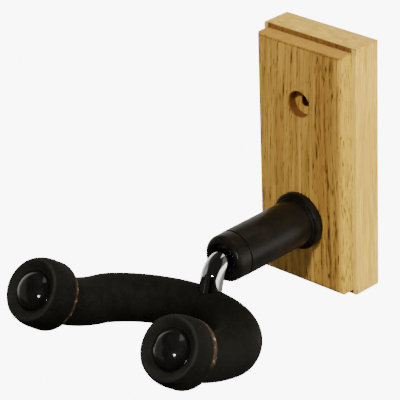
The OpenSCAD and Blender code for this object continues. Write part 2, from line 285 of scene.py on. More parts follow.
class Nodes:
    """Adds nodes to a tree. Sizes are in metres."""

    def __init__(self, tree):
        self.tree = tree

    def add(self, kind, inputs=None, **settings):
        made = self.tree.nodes.new(kind)
        for name, value in settings.items():
            setattr(made, name, value)
        for name, value in (inputs or {}).items():
            self.feed(made.inputs[name], value)
        return made

    def feed(self, socket, value):
        if isinstance(value, bpy.types.NodeSocket):
            self.tree.links.new(value, socket)
        elif isinstance(value, tuple) and len(value) == 3 and socket.type == "RGBA":
            socket.default_value = (*value, 1)
        else:
            socket.default_value = value

    def math(self, operation, first, second=0.0):
        made = self.add("ShaderNodeMath", operation=operation)
        self.feed(made.inputs[0], first)
        self.feed(made.inputs[1], second)
        return made.outputs[0]

    def product(self, *factors):
        result = factors[0]
        for factor in factors[1:]:
            result = self.math("MULTIPLY", result, factor)
        return result

    def size(self, value):
        return self.math("ABSOLUTE", value)

    def axes(self, vector):
        split = self.add("ShaderNodeSeparateXYZ", {"Vector": vector})
        return split.outputs[0], split.outputs[1], split.outputs[2]

    def dot(self, vector, axis):
        made = self.add("ShaderNodeVectorMath", {0: vector, 1: tuple(axis)}, operation="DOT_PRODUCT")
        return made.outputs["Value"]

    def length(self, vector):
        made = self.add("ShaderNodeVectorMath", {0: vector}, operation="LENGTH")
        return made.outputs["Value"]

    def span(self, value, low, high, start=0.0, end=1.0):
        """Eases from start to end while value goes from low to high."""
        made = self.add("ShaderNodeMapRange", interpolation_type="SMOOTHSTEP")
        for index, part in enumerate((value, low, high, start, end)):
            self.feed(made.inputs[index], part)
        return made.outputs[0]

    def mix(self, factor, first, second):
        """From the first colour to the second as the factor goes from 0 to 1."""
        made = self.add("ShaderNodeMix", data_type="RGBA")
        self.feed(made.inputs["Factor"], factor)
        self.feed(made.inputs[6], first)
        self.feed(made.inputs[7], second)
        return made.outputs[2]


class Shader(Nodes):
    """Builds the node tree of one material."""

    def __init__(self, name):
        self.material = bpy.data.materials.new(name)
        self.material.use_nodes = True
        super().__init__(self.material.node_tree)
        self.surface = self.tree.nodes["Principled BSDF"]
        self.place = self.add("ShaderNodeTexCoord").outputs["Object"]

    def set(self, **values):
        """Feeds inputs of the surface, given by their names in lower case with underscores."""
        for name, value in values.items():
            self.feed(self.surface.inputs[name.replace("_", " ").title().replace("Ior", "IOR")], value)

    def grained(self, size, detail=2.0, roughness=0.5, warp=0.0, at=None):
        """Noise whose grain has the given size along each axis, over the place at."""
        scale = tuple(1 / length for length in size)
        scaled = self.add("ShaderNodeVectorMath", {0: at or self.place, 1: scale}, operation="MULTIPLY")
        inputs = {"Vector": scaled.outputs[0], "Scale": 1.0, "Detail": detail}
        inputs.update({"Roughness": roughness, "Distortion": warp})
        return self.add("ShaderNodeTexNoise", inputs).outputs["Fac"]

    def relief(self, height, depth):
        made = self.add("ShaderNodeBump", {"Height": height, "Distance": depth, "Strength": 1.0})
        return made.outputs["Normal"]


def oak():
    s = Shader("oak")
    x, y, z = s.axes(s.place)

    # Growth rings stand across the front and run up the block, bending slowly on the way.
    sway = s.product(s.grained((40 * MM, 60 * MM, 150 * MM), detail=1.0), 16 * MM)
    wobble = s.product(s.grained((9 * MM, 20 * MM, 45 * MM), detail=2.0), 2.2 * MM)
    across = s.math("ADD", s.math("ADD", x, sway), wobble)
    ring = s.math("FRACT", s.math("DIVIDE", across, 4.4 * MM))
    early = s.span(ring, 0.42, 0.02)

    # A denser reddish band runs up the right of the front.
    band = s.math("SUBTRACT", across, 26 * MM)
    band = s.span(s.size(band), 9 * MM, 2 * MM)

    wavy = s.add("ShaderNodeCombineXYZ", {0: across, 1: y, 2: z}).outputs[0]
    blotch = s.grained((22 * MM, 22 * MM, 60 * MM), detail=3.0, roughness=0.6)
    fibre = s.grained((0.55 * MM, 0.55 * MM, 26 * MM), detail=3.0, roughness=0.65, at=wavy)
    line = s.grained((1.0 * MM, 1.0 * MM, 34 * MM), detail=2.0, at=wavy)
    line = s.math("ADD", line, s.product(band, 0.03))
    streak = s.grained((1.8 * MM, 1.8 * MM, 70 * MM), detail=2.0)
    pore = s.grained((0.42 * MM, 0.42 * MM, 6.5 * MM), detail=1.0, warp=0.3, at=wavy)
    crowd = s.math("ADD", s.product(early, 0.10), s.product(band, 0.05))
    pore = s.span(s.math("ADD", pore, crowd), 0.665, 0.72)

    colour = s.mix(s.span(streak, 0.3, 0.7), (0.53, 0.29, 0.048), (0.70, 0.405, 0.078))
    colour = s.mix(s.product(early, 0.5), colour, (0.36, 0.17, 0.03))
    colour = s.mix(s.product(band, 0.45), colour, (0.38, 0.165, 0.03))
    colour = s.mix(s.span(blotch, 0.35, 0.75, 0.0, 0.4), colour, (0.38, 0.20, 0.04))
    colour = s.mix(s.span(fibre, 0.35, 0.75, 0.0, 0.5), colour, (0.20, 0.09, 0.018))
    colour = s.mix(s.span(line, 0.58, 0.72, 0.0, 0.6), colour, (0.12, 0.048, 0.01))
    colour = s.mix(s.product(pore, 0.9), colour, (0.05, 0.018, 0.005))

    # The flat sides are paler, with fainter streaks, and the panel's sides have dark dashes.
    normal = s.axes(s.add("ShaderNodeNewGeometry").outputs["Normal"])
    side = s.span(s.size(normal[0]), 0.75, 0.97)
    quiet = s.mix(s.span(streak, 0.3, 0.7), (0.79, 0.52, 0.045), (0.88, 0.61, 0.075))
    quiet = s.mix(s.span(fibre, 0.38, 0.68, 0.0, 0.75), quiet, (0.40, 0.22, 0.03))
    quiet = s.mix(s.span(blotch, 0.42, 0.7, 0.0, 0.4), quiet, (0.60, 0.36, 0.035))
    quiet = s.mix(s.span(line, 0.6, 0.72, 0.0, 0.5), quiet, (0.36, 0.19, 0.03))
    smear = s.grained((1.3 * MM, 1.3 * MM, 16 * MM), detail=3.0, roughness=0.6)
    quiet = s.mix(s.span(smear, 0.4, 0.68, 0.0, 0.55), quiet, (0.47, 0.28, 0.03))
    fleck = s.grained((0.9 * MM, 0.9 * MM, 5 * MM), detail=1.0)
    quiet = s.mix(s.span(fleck, 0.68, 0.75, 0.0, 0.8), quiet, (0.22, 0.11, 0.02))
    low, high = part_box("wood_block")
    panel = s.span(s.size(x), high.x - 0.9 * MM, high.x - 1.5 * MM)
    quiet = s.mix(s.product(panel, 0.85), quiet, (0.50, 0.325, 0.026))
    quiet = s.mix(s.product(pore, panel, 0.85), quiet, (0.12, 0.05, 0.01))
    lined = s.product(panel, s.span(line, 0.5, 0.7, 0.1, 0.6))
    quiet = s.mix(lined, quiet, (0.33, 0.17, 0.025))
    eased = s.span(s.size(normal[0]), 0.15, 0.6, 0.0, 0.6)
    colour = s.mix(s.product(eased, panel), colour, (0.42, 0.26, 0.022))
    colour = s.mix(s.product(side, 0.8), colour, quiet)
    dash = s.grained((0.6 * MM, 0.6 * MM, 5 * MM), detail=1.0, warp=0.3, at=wavy)
    dash = s.product(s.span(dash, 0.6, 0.67), eased, panel, 1.3)
    colour = s.mix(dash, colour, (0.10, 0.045, 0.008))

    # End grain on the top and the bottom is mottled. On the raised panel and on the rounded edges it is
    # darker, partly as stain that end grain takes and partly as painted shade at the corner.
    end = s.span(s.size(normal[2]), 0.55, 0.9)
    speck = s.grained((0.5 * MM, 0.5 * MM, 6 * MM), detail=2.0, roughness=0.7)
    cloud = s.grained((6 * MM, 3 * MM, 20 * MM), detail=3.0, roughness=0.6)
    sawn = s.mix(s.span(cloud, 0.3, 0.7), (0.54, 0.335, 0.04), (0.72, 0.47, 0.075))
    sawn = s.mix(s.span(speck, 0.5, 0.75, 0.0, 0.6), sawn, (0.34, 0.18, 0.035))
    ledge_y = low.y + PANEL_RISE
    panel = s.span(y, ledge_y + 0.2 * MM, ledge_y - 0.4 * MM)
    sawn = s.mix(s.product(panel, 0.75), sawn, (0.30, 0.145, 0.026))
    colour = s.mix(end, colour, sawn)
    tilt = s.size(normal[2])
    # Rounded edges darker: partly stain, partly painted shade.
    turn = s.product(s.span(tilt, 0.12, 0.45), s.span(tilt, 0.85, 0.5), s.span(speck, 0.25, 0.55))
    colour = s.mix(s.product(turn, 0.85), colour, (0.13, 0.05, 0.012))

    # The top and bottom ledges are painted dark, partly as router burn and partly as painted shade in
    # the step.
    ledge_burn_and_shade = s.span(s.size(s.math("SUBTRACT", y, ledge_y)), 0.9 * MM, 0.3 * MM)
    ledge_burn_and_shade = s.product(ledge_burn_and_shade, s.span(s.size(z), 60 * MM, 61 * MM), 0.8)
    colour = s.mix(ledge_burn_and_shade, colour, (0.13, 0.055, 0.018))
    # The side ledges are painted pale, partly as a worn edge and partly as a painted highlight along
    # the edge.
    ledge_x = high.x - LEDGE_WIDTH
    pale_ledge_and_highlight = s.span(s.size(x), ledge_x - 0.5 * MM, ledge_x)
    pale_ledge_and_highlight = s.product(pale_ledge_and_highlight, s.span(normal[1], -0.5, -0.8), s.span(fibre, 0.3, 0.6, 0.9, 0.55))
    colour = s.mix(pale_ledge_and_highlight, colour, (0.92, 0.70, 0.13))

    # The walls of the hole are painted darker, and the screw's bore nearly black as painted shade.
    hole = Vector(frame_mount("screw_hole")["pos_m"])
    aside, over = s.math("SUBTRACT", x, hole.x), s.math("SUBTRACT", z, hole.z)
    reach = s.length(s.add("ShaderNodeCombineXYZ", {0: aside, 1: over}).outputs[0])
    wall = s.product(s.span(reach, 7.0 * MM, 6.6 * MM), s.span(s.size(normal[1]), 0.8, 0.4))
    colour = s.mix(s.product(wall, 0.9), colour, (0.17, 0.06, 0.018))
    bore = s.product(wall, s.span(reach, 3.4 * MM, 2.9 * MM))
    colour = s.mix(bore, colour, (0.02, 0.008, 0.003))

    dust = s.grained((0.25 * MM, 0.25 * MM, 1.2 * MM), detail=2.0)
    rough = s.math("ADD", s.span(fibre, 0.3, 0.8, 0.36, 0.5), s.product(pore, 0.25))
    rough = s.math("ADD", rough, s.product(end, 0.12))
    height = s.math("SUBTRACT", s.product(fibre, 0.25), pore)
    height = s.math("ADD", height, s.product(dust, 0.12))
    s.set(base_color=colour, roughness=rough, specular_ior_level=0.2)
    s.set(normal=s.relief(height, 0.09 * MM))
    return s.material


def satin_black():
    s = Shader("satin_black")
    peel = s.grained((0.9 * MM, 0.9 * MM, 0.9 * MM), detail=2.0)
    worn = s.grained((6 * MM, 14 * MM, 6 * MM), detail=4.0, roughness=0.65)
    scuff = s.grained((0.3 * MM, 5 * MM, 0.3 * MM), detail=2.0)
    colour = s.mix(s.span(worn, 0.35, 0.75), (0.0045, 0.004, 0.003), (0.009, 0.0075, 0.005))
    colour = s.mix(s.span(scuff, 0.7, 0.8, 0.0, 0.35), colour, (0.05, 0.047, 0.042))
    rough = s.math("ADD", s.span(worn, 0.3, 0.7, 0.28, 0.38), s.span(scuff, 0.66, 0.8, 0.0, 0.12))
    height = s.math("ADD", peel, s.product(scuff, 0.25))
    s.set(base_color=colour, roughness=rough, specular_ior_level=0.14)
    s.set(normal=s.relief(height, 0.02 * MM))
    return s.material


def chrome():
    s = Shader("chrome_rod")
    cloud = s.grained((8 * MM, 8 * MM, 8 * MM), detail=3.0)
    hair = s.grained((4 * MM, 0.12 * MM, 4 * MM), detail=2.0)
    pit = s.grained((0.3 * MM, 0.3 * MM, 0.3 * MM), detail=1.0)
    colour = s.mix(s.span(cloud, 0.3, 0.7), (0.80, 0.80, 0.82), (0.88, 0.88, 0.88))
    colour = s.mix(s.span(pit, 0.76, 0.8, 0.0, 0.5), colour, (0.35, 0.33, 0.31))
    rough = s.math("ADD", s.span(cloud, 0.3, 0.7, 0.03, 0.07), s.span(hair, 0.6, 0.8, 0.0, 0.06))
    s.set(base_color=colour, metallic=1.0, roughness=rough)
    s.set(normal=s.relief(s.math("ADD", cloud, s.product(hair, 0.06)), 0.012 * MM))
    return s.material


def rubber(name, seams=()):
    """Matte black rubber. A seam is (point, direction, start, end, low): a brownish band
    lies between start and end along the direction from the point, and fades out below low.
    The band is partly a raw edge and partly painted sheen, and its bright specks are painted highlight."""
    s = Shader(name)
    skin = s.grained((0.35 * MM, 0.35 * MM, 0.35 * MM), detail=3.0, roughness=0.6)
    soft = s.grained((5 * MM, 5 * MM, 5 * MM), detail=3.0, roughness=0.6)
    dust = s.grained((0.6 * MM, 0.6 * MM, 0.6 * MM), detail=1.0)
    colour = s.mix(s.span(soft, 0.3, 0.7), (0.004, 0.0039, 0.003), (0.0065, 0.0062, 0.0046))
    colour = s.mix(s.span(dust, 0.74, 0.8, 0.0, 0.5), colour, (0.07, 0.062, 0.05))
    rough = s.span(soft, 0.3, 0.7, 0.62, 0.8)
    for point, direction, start, end, low in seams:
        ends = {0: s.place, 1: tuple(point)}
        offset = s.add("ShaderNodeVectorMath", ends, operation="SUBTRACT").outputs[0]
        near = s.length(offset)
        depth = s.dot(offset, direction)
        # A brownish band at the seam, partly a raw edge and partly painted sheen; the bright specks are
        # painted highlight.
        raw = s.product(
            s.span(depth, start - 0.8 * MM, start + 0.6 * MM),
            s.span(depth, end + 0.9 * MM, end - 0.7 * MM),
            s.span(near, 19 * MM, 17.5 * MM),
            s.span(s.axes(offset)[2], low - 3 * MM, low + 3 * MM),
        )
        patch = s.grained((2.5 * MM, 2.5 * MM, 2.5 * MM), detail=3.0, roughness=0.7)
        raw_edge_and_sheen = s.product(raw, s.span(patch, 0.3, 0.6, 0.35, 1.0))
        tone = s.mix(s.span(patch, 0.55, 0.74), (0.045, 0.026, 0.015), (0.25, 0.18, 0.085))
        colour = s.mix(raw_edge_and_sheen, colour, tone)
        rough = s.math("SUBTRACT", rough, s.product(raw_edge_and_sheen, 0.2))

        # The dished front of the bumper is painted lighter where it faces forward, as painted light
        # that lifts the shade in the dish.
        normal = s.add("ShaderNodeNewGeometry").outputs["Normal"]
        front = s.product(
            s.span(depth, 9 * MM, 12 * MM),
            s.span(near, 24 * MM, 22 * MM),
            s.span(s.dot(normal, direction), 0.3, 0.8),
            s.span(soft, 0.2, 0.7, 0.6, 1.0),
        )
        colour = s.mix(front, colour, (0.016, 0.0152, 0.012))
    height = s.math("ADD", s.product(skin, 0.5), soft)
    s.set(base_color=colour, roughness=rough, specular_ior_level=0.05)
    s.set(normal=s.relief(height, 0.07 * MM))
    return s.material


def gloss_black():
    s = Shader("gloss_black")
    haze = s.grained((4 * MM, 4 * MM, 4 * MM), detail=3.0)
    hair = s.grained((5 * MM, 0.2 * MM, 5 * MM), detail=2.0)
    dust = s.grained((0.4 * MM, 0.4 * MM, 0.4 * MM), detail=1.0)
    colour = s.mix(s.span(haze, 0.3, 0.7), (0.004, 0.004, 0.0035), (0.007, 0.0065, 0.0055))
    colour = s.mix(s.span(dust, 0.77, 0.81, 0.0, 0.4), colour, (0.10, 0.095, 0.085))
    rough = s.math("ADD", s.span(haze, 0.3, 0.7, 0.06, 0.12), s.span(hair, 0.62, 0.8, 0.0, 0.08))
    s.set(base_color=colour, roughness=rough, normal=s.relief(haze, 0.02 * MM))
    return s.material


def plated(name, light, dark, roughness, metallic=1.0, grain=(6, 0.15, 6), relief=0.01):
    """A machined metal or moulded part: brushed lines, stains, small pits and dull spots."""
    s = Shader(name)
    lines = s.grained(tuple(size * MM for size in grain), detail=3.0, roughness=0.6)
    stain = s.grained((3 * MM, 3 * MM, 3 * MM), detail=4.0, roughness=0.65)
    pit = s.grained((0.35 * MM, 0.35 * MM, 0.35 * MM), detail=1.0)
    colour = s.mix(s.span(stain, 0.3, 0.7), light, dark)
    grime = tuple(part * 0.45 for part in dark)
    colour = s.mix(s.span(pit, 0.7, 0.78, 0.0, 0.6), colour, grime)
    rough = s.span(lines, 0.3, 0.75, roughness - 0.08, roughness + 0.1)
    rough = s.math("ADD", rough, s.span(stain, 0.5, 0.8, 0.0, 0.1))
    height = s.math("SUBTRACT", lines, s.product(s.span(pit, 0.7, 0.78), 0.6))
    s.set(base_color=colour, metallic=metallic, roughness=rough, normal=s.relief(height, relief * MM))
    return s.material


# ---------- Pieces ----------


def frame_mount(name):
    return next(mount for mount in frame["record"]["mounts"] if mount["name"] == name)


def arm_axis():
    """The run out of the wall along the arm, from the wall's plane, with +Y up."""
    low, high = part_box("spacer_tube")
    start = Matrix.Translation((0, 0, (low.z + high.z) / 2)) @ Matrix.Rotation(math.radians(90), 4, "X")
    return Run(start)


def reach_of(node):
    """How far a part of the arm starts and ends from the wall."""
    low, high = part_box(node)
    return -high.y, -low.y


def rim_of(node):
    low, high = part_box(node)
    return (high.x - low.x) / 2


def build_block(material):
    """Rings of a rectangle that shrinks towards the front, with the holes cut out."""
    low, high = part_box("wood_block")
    half_width, half_height, thickness = high.x, high.z, -low.y
    ledge_depth = thickness - PANEL_RISE
    face = LEDGE_WIDTH + PANEL_EDGE
    section = [(0.5 * MM, 0.0), (0.15 * MM, 0.12 * MM), (0.0, 0.5 * MM)]
    section += [(0.0, ledge_depth - 0.4 * MM), (0.1 * MM, ledge_depth - 0.1 * MM)]
    section += [(0.4 * MM, ledge_depth)]
    section += [(LEDGE_WIDTH - 0.12 * MM, ledge_depth), (LEDGE_WIDTH, ledge_depth + 0.12 * MM)]
    for step in range(9):
        angle = math.radians(90) * step / 8
        inset = face - PANEL_EDGE * math.cos(angle)
        section.append((inset, thickness - PANEL_EDGE + PANEL_EDGE * math.sin(angle)))
    bm = bmesh.new()
    rings = []
    for inset, depth in section:
        x, z = half_width - inset, half_height - inset
        corner = 0.5 * MM
        outline = fillet([(-x, -z, corner), (x, -z, corner), (x, z, corner), (-x, z, corner)], 4)
        rings.append([bm.verts.new((point.x, -depth, point.y)) for point in outline])
    for ring, after in zip(rings, rings[1:]):
        for index in range(len(ring)):
            following = (index + 1) % len(ring)
            bm.faces.new((ring[index], ring[following], after[following], after[index]))
    bm.faces.new(rings[0])
    bm.faces.new(rings[-1])
    block = finish_mesh("wood_block", bm)

    mount = frame_mount("screw_hole")
    hole = Vector(mount["pos_m"])
    bore = mount["dims"]["r_mm"] * MM
    screw = Run(Matrix.Translation((hole.x, 0, hole.z)) @ Matrix.Rotation(math.radians(90), 4, "X"))
    floor = thickness - COUNTERBORE_DEPTH
    ease = 0.35 * MM
    outside = 2 * MM
    screw_cut = fillet([
        (-outside, 0, 0), (-outside, bore + ease + outside, 0), (0, bore + ease, 0.0),
        (ease, bore, 0), (floor - ease, bore, 0), (floor, bore + ease, 0),
        (floor, COUNTERBORE_RADIUS, 0), (thickness - ease, COUNTERBORE_RADIUS, 0.3 * MM),
        (thickness + outside, COUNTERBORE_RADIUS + ease + outside, 0), (thickness + outside, 0, 0),
    ], 4)
    arm_cut = [
        (-outside, 0), (-outside, POCKET_RADIUS + ease + outside), (0, POCKET_RADIUS + ease),
        (ease, POCKET_RADIUS), (POCKET_DEPTH, POCKET_RADIUS), (POCKET_DEPTH, BUSHING_RADIUS),
        (thickness + outside, BUSHING_RADIUS), (thickness + outside, 0),
    ]
    cut_away(block, turned("screw_cut", screw_cut, screw), turned("arm_cut", arm_cut, arm_axis()))
    weighted = block.modifiers.new("weighted", "WEIGHTED_NORMAL")
    weighted.weight = 100
    weighted.keep_sharp = True
    add_piece(block, "bracket", material, "oak", "wood_block")


def build_arm(material):
    axis = arm_axis()
    start, end = reach_of("base_flange")
    face = reach_of("spacer_tube")[0]
    rim = rim_of("base_flange")
    socket = start + BUSHING_NOSE
    step = face - 0.9 * MM
    neck = rim - 1.9 * MM
    flange = fillet([
        (start, BUSHING_RADIUS, 0), (start, rim, 0.5 * MM), (step, rim, 1.6 * MM),
        (step, neck, 0.25 * MM), (face, neck, 0.4 * MM),
        (face, SPIGOT_RADIUS, 0), (end, SPIGOT_RADIUS, 0.5 * MM), (end, FLANGE_BORE, 0),
        (socket, FLANGE_BORE, 0), (socket, BUSHING_RADIUS, 0),
    ])
    flange = turned("base_flange", flange, axis, 128)
    add_piece(flange, "bracket", material, "satin_black", "base_flange")

    start, end = reach_of("spacer_tube")
    rim = rim_of("spacer_tube")
    inside = rim - TUBE_WALL
    tube = fillet([
        (start, inside, 0.1 * MM), (start, rim, 0.15 * MM),
        (end, rim, 0.3 * MM), (end, inside, 0.1 * MM),
    ], 5)
    tube = turned("spacer_tube", tube, axis, 128)
    add_piece(tube, "bracket", material, "satin_black", "spacer_tube")

    back, front = reach_of("front_cap")
    rim = rim_of("front_cap")
    seam_end = end + 0.5 * MM
    neck = rim - 0.45 * MM
    floor = front - RECESS_DEPTH
    cap = fillet([
        (back, CAP_BORE, 0.1 * MM), (back, SPIGOT_RADIUS, 0.5 * MM), (end, SPIGOT_RADIUS, 0),
        (end, neck, 0.1 * MM), (seam_end, neck, 0.15 * MM),
        (seam_end, rim, 0.25 * MM), (front, rim, 3.1 * MM),
        (front, RECESS_RADIUS, 0.5 * MM), (floor, RECESS_RADIUS, 0.1 * MM),
        (floor, CAP_BORE, 0),
    ], 10)
    cap = turned("front_cap", cap, axis, 128)
    add_piece(cap, "bracket", material, "satin_black", "front_cap")


def rod_run():
    """From the rod's threaded end, out along the arm, round the bend and down the leg."""
    start = reach_of("swivel_rod")[0]
    bend_start = reach_of("front_cap")[1] - BEND_INSET
    bend = ROD_BEND * (math.radians(90) - ROD_LEAN)
    moves = ((bend_start - start, 0, 0), (bend, ROD_BEND, math.radians(-90)), (LEG_LENGTH, 0, 0))
    return Run(arm_axis().at(start), moves), start


def build_rod(material):
    run, start = rod_run()
    end = run.length - YOKE_ROD_RADIUS
    shoulder = SHOULDER - start
    groove = RING_GROOVE - start
    groove_end = groove + RING_THICKNESS
    deep = ROD_RADIUS - RING_GROOVE_DEPTH
    thread_end = shoulder - 0.6 * MM
    tip_edge = 0.8 * MM
    edge = 0.3 * MM
    profile = [(0, 0), (0, THREAD_RADIUS - tip_edge), (tip_edge, THREAD_RADIUS)]
    turns = stepped(1 * MM, thread_end, THREAD_PITCH / 8)
    profile += [(distance, THREAD_RADIUS) for distance in turns]
    profile += [(shoulder, THREAD_RADIUS), (shoulder, ROD_RADIUS - edge), (shoulder + edge, ROD_RADIUS)]
    profile += [(groove, ROD_RADIUS), (groove, deep), (groove_end, deep), (groove_end, ROD_RADIUS)]
    profile += [(distance, ROD_RADIUS) for distance in stepped(groove_end, end, 0.35 * MM)[1:]]
    profile.append((end, 0))

    def thread(distance, radius, angle):
        if distance > thread_end or radius < THREAD_RADIUS - 0.1 * MM:
            return 0
        phase = distance / THREAD_PITCH + angle / (2 * math.pi)
        cut = 2 * abs(phase - math.floor(phase) - 0.5)
        ease = min(1, (thread_end - distance) / (1.2 * MM))
        return -THREAD_DEPTH * cut * ease

    rod = turned("swivel_rod", profile, run, 128, thread)
    add_piece(rod, "yoke", material, "chrome_rod", "swivel_rod")


def yoke_middle():
    run = rod_run()[0]
    here = run.at(run.length).translation
    return Matrix.Translation(here) @ Matrix.Rotation(-YOKE_TILT, 4, "X")


def yoke_side(side):
    """From the middle of the yoke's back, along one arm to the back of its bumper."""
    out = Matrix.Rotation(math.radians(90) * side, 4, "Y")
    start = yoke_middle() @ out
    forward = math.radians(-90)
    upward = math.radians(180) if side > 0 else 0.0
    moves = (
        (YOKE_BACK[0] * YOKE_BACK[1], YOKE_BACK[0], forward),
        (YOKE_CORNER[0] * YOKE_CORNER[1], YOKE_CORNER[0], forward),
        (ARM_RISE[0] * ARM_RISE[1], ARM_RISE[0], upward),
    )
    return Run(start, moves)


def build_sleeve(side, name, material):
    run = yoke_side(side)
    joint = 0.06 * MM
    tip = run.length - 0.05 * MM
    corner = YOKE_BACK[0] * YOKE_BACK[1]

    # The rubber gives a little: fuller where the arm turns, drawn in behind the bumper.
    def fullness(distance):
        full = 0.18 * MM * math.exp(-(((distance - corner) / (12 * MM)) ** 2))
        drawn = 0.35 * MM * math.exp(-(((distance - tip) / (3 * MM)) ** 2))
        return full - drawn

    def relief(distance, radius, angle):
        if radius < YOKE_BORE + 1 * MM:
            return 0
        inner_side = max(0, math.cos(angle + math.radians(90)))
        crease = 0.05 * MM * math.sin(distance / (1.9 * MM)) * inner_side
        near_corner = math.exp(-(((distance - corner - 3 * MM) / (9 * MM)) ** 2))
        wave = 0.04 * MM * math.sin(distance / (7 * MM) + 2 * angle)
        return fullness(distance) + crease * near_corner + wave

    outline = fillet([
        (joint, YOKE_BORE, 0.1 * MM), (joint, SLEEVE_RADIUS, 0.25 * MM),
        (tip, SLEEVE_RADIUS, 1.1 * MM), (tip, YOKE_BORE, 0.3 * MM),
    ], 6)
    outside = [point for point in outline if point.y > SLEEVE_RADIUS - 1.2 * MM]
    inside = [point for point in outline if point.y < YOKE_BORE + 0.5 * MM]
    first, last = inside[: len(inside) // 2], inside[len(inside) // 2 :]
    rise = [point for point in outside if point.x < tip / 2]
    fall = [point for point in outside if point.x > tip / 2]
    profile = [tuple(point) for point in first + rise]
    out = stepped(rise[-1].x, fall[0].x, 0.8 * MM)[1:-1]
    profile += [(distance, SLEEVE_RADIUS) for distance in out]
    profile += [tuple(point) for point in fall + last]
    back = stepped(last[-1].x, first[0].x, 2 * MM)[1:-1]
    profile += [(distance, YOKE_BORE) for distance in back]
    sleeve = turned(name, profile, run, 96, relief)

    # The notch for the leg flares a little where it meets the sleeve's skin.
    leg = rod_run()[0]
    wide = ROD_RADIUS + 0.15 * MM
    start = leg.length - 2.2 * SLEEVE_RADIUS
    skin = leg.length - SLEEVE_RADIUS
    notch = [(start, 0), (start, wide + 4 * MM), (skin - 0.6 * MM, wide + 0.5 * MM)]
    notch += [(skin + 0.8 * MM, wide), (leg.length, wide), (leg.length, 0)]
    cut_away(sleeve, turned("notch", notch, leg, 96))
    add_piece(sleeve, "yoke", material, "rubber_sleeve", name)


def build_tip(side, bumper_name, dome_name, bumper_material, dome_material):
    tip = Run(yoke_side(side).at(yoke_side(side).length))
    side_end = BUMPER_LENGTH - CROWN_LENGTH
    outline = fillet([
        (DOME_SEAT, YOKE_BORE, 0), (0, YOKE_BORE, 0.3 * MM), (0, BUMPER_RADIUS, BUMPER_BACK),
        (side_end, BUMPER_RADIUS, 0),
    ], 10)
    # The side curves in to the round lip, and the front dishes in from the lip to the dome.
    crown = (side_end, BUMPER_RADIUS - CROWN_RADIUS)
    turn = math.asin((CROWN_LENGTH - LIP_RADIUS) / (CROWN_RADIUS - LIP_RADIUS))
    outline += arc(crown, CROWN_RADIUS, 0, turn, 14)[1:]
    arm = CROWN_RADIUS - LIP_RADIUS
    lip = (crown[0] + arm * math.sin(turn), crown[1] + arm * math.cos(turn))
    edge = DOME_RADIUS + DOME_GAP
    rise, reach = lip[0] - DOME_SEAT, lip[1] - edge
    slope = math.atan2(rise, reach) + math.asin(LIP_RADIUS / math.hypot(rise, reach))
    outline += arc(lip, LIP_RADIUS, turn, math.radians(90) + slope, 10)[1:]
    outline.append((DOME_SEAT, edge))

    def relief(distance, radius, angle):
        if radius < edge + 0.3 * MM:
            return 0
        slow = 0.07 * MM * math.sin(3 * angle + distance / (6 * MM))
        return slow + 0.05 * MM * math.sin(5 * angle)

    bumper = turned(bumper_name, [tuple(point) for point in outline], tip, 144, relief)
    add_piece(bumper, "yoke", bumper_material, "rubber_bumper", bumper_name)

    # The dome stands on a narrow upright rim.
    rim = 0.45 * MM
    waist = DOME_RADIUS - 0.3 * MM
    height = DOME_HEIGHT - rim
    ball = (waist ** 2 + height ** 2) / (2 * height)
    centre = DOME_SEAT + DOME_HEIGHT - ball
    inner = ball - DOME_WALL
    ahead = math.radians(90)
    dome = fillet([
        (DOME_SEAT, DOME_RADIUS - DOME_WALL, 0), (DOME_SEAT, DOME_RADIUS, 0.1 * MM),
        (DOME_SEAT + rim, DOME_RADIUS, 0.2 * MM), (DOME_SEAT + rim, waist, 0),
    ], 6)
    dome += arc((centre, 0), ball, math.acos(waist / ball), ahead, 32)[1:]
    dome += arc((centre, 0), inner, ahead, math.asin((ball - height - rim) / inner), 24)
    dome = turned(dome_name, [tuple(point) for point in dome], tip, 128)
    add_piece(dome, "yoke", dome_material, "gloss_black", dome_name)


def dress_node(name, material):
    """A small or hidden part carries over from the CAD, with its own material."""
    node = frame["nodes"][name]
    node.data.materials.clear()
    node.data.materials.append(material)


# ---------- Stage, light and camera ----------


def camera_axes():
    azimuth, elevation = CAMERA_AZIMUTH, CAMERA_ELEVATION
    back = Vector((
        math.sin(azimuth) * math.cos(elevation),
        -math.cos(azimuth) * math.cos(elevation),
        math.sin(elevation),
    ))
    level = Vector((math.cos(azimuth), math.sin(azimuth), 0))
    upright = back.cross(level)
    right = level * math.cos(CAMERA_ROLL) + upright * math.sin(CAMERA_ROLL)
    up = -level * math.sin(CAMERA_ROLL) + upright * math.cos(CAMERA_ROLL)
    return right, up, back


def add_camera():
    right, up, back = camera_axes()
    data = bpy.data.cameras.new("camera")
    data.lens = CAMERA_LENS
    data.sensor_width = 36
    camera = bpy.data.objects.new("camera", data)
    bpy.context.scene.collection.objects.link(camera)
    place = Matrix((right, up, back)).transposed().to_4x4()
    place.translation = right * CAMERA_OFFSET.x + up * CAMERA_OFFSET.y + back * CAMERA_OFFSET.z
    camera.matrix_world = place
    bpy.context.scene.camera = camera


def add_lamp(name, direction, distance, size, power):
    """A round lamp that shines on the object from the direction."""
    data = bpy.data.lights.new(name, "AREA")
    data.shape = "DISK"
    data.size = size
    data.energy = power
    lamp = bpy.data.objects.new(name, data)
    bpy.context.scene.collection.objects.link(lamp)
    toward = Vector(direction).normalized()
    lamp.location = LAMPS_AIM + toward * distance
    lamp.rotation_euler = toward.to_track_quat("Z", "Y").to_euler()
    return lamp


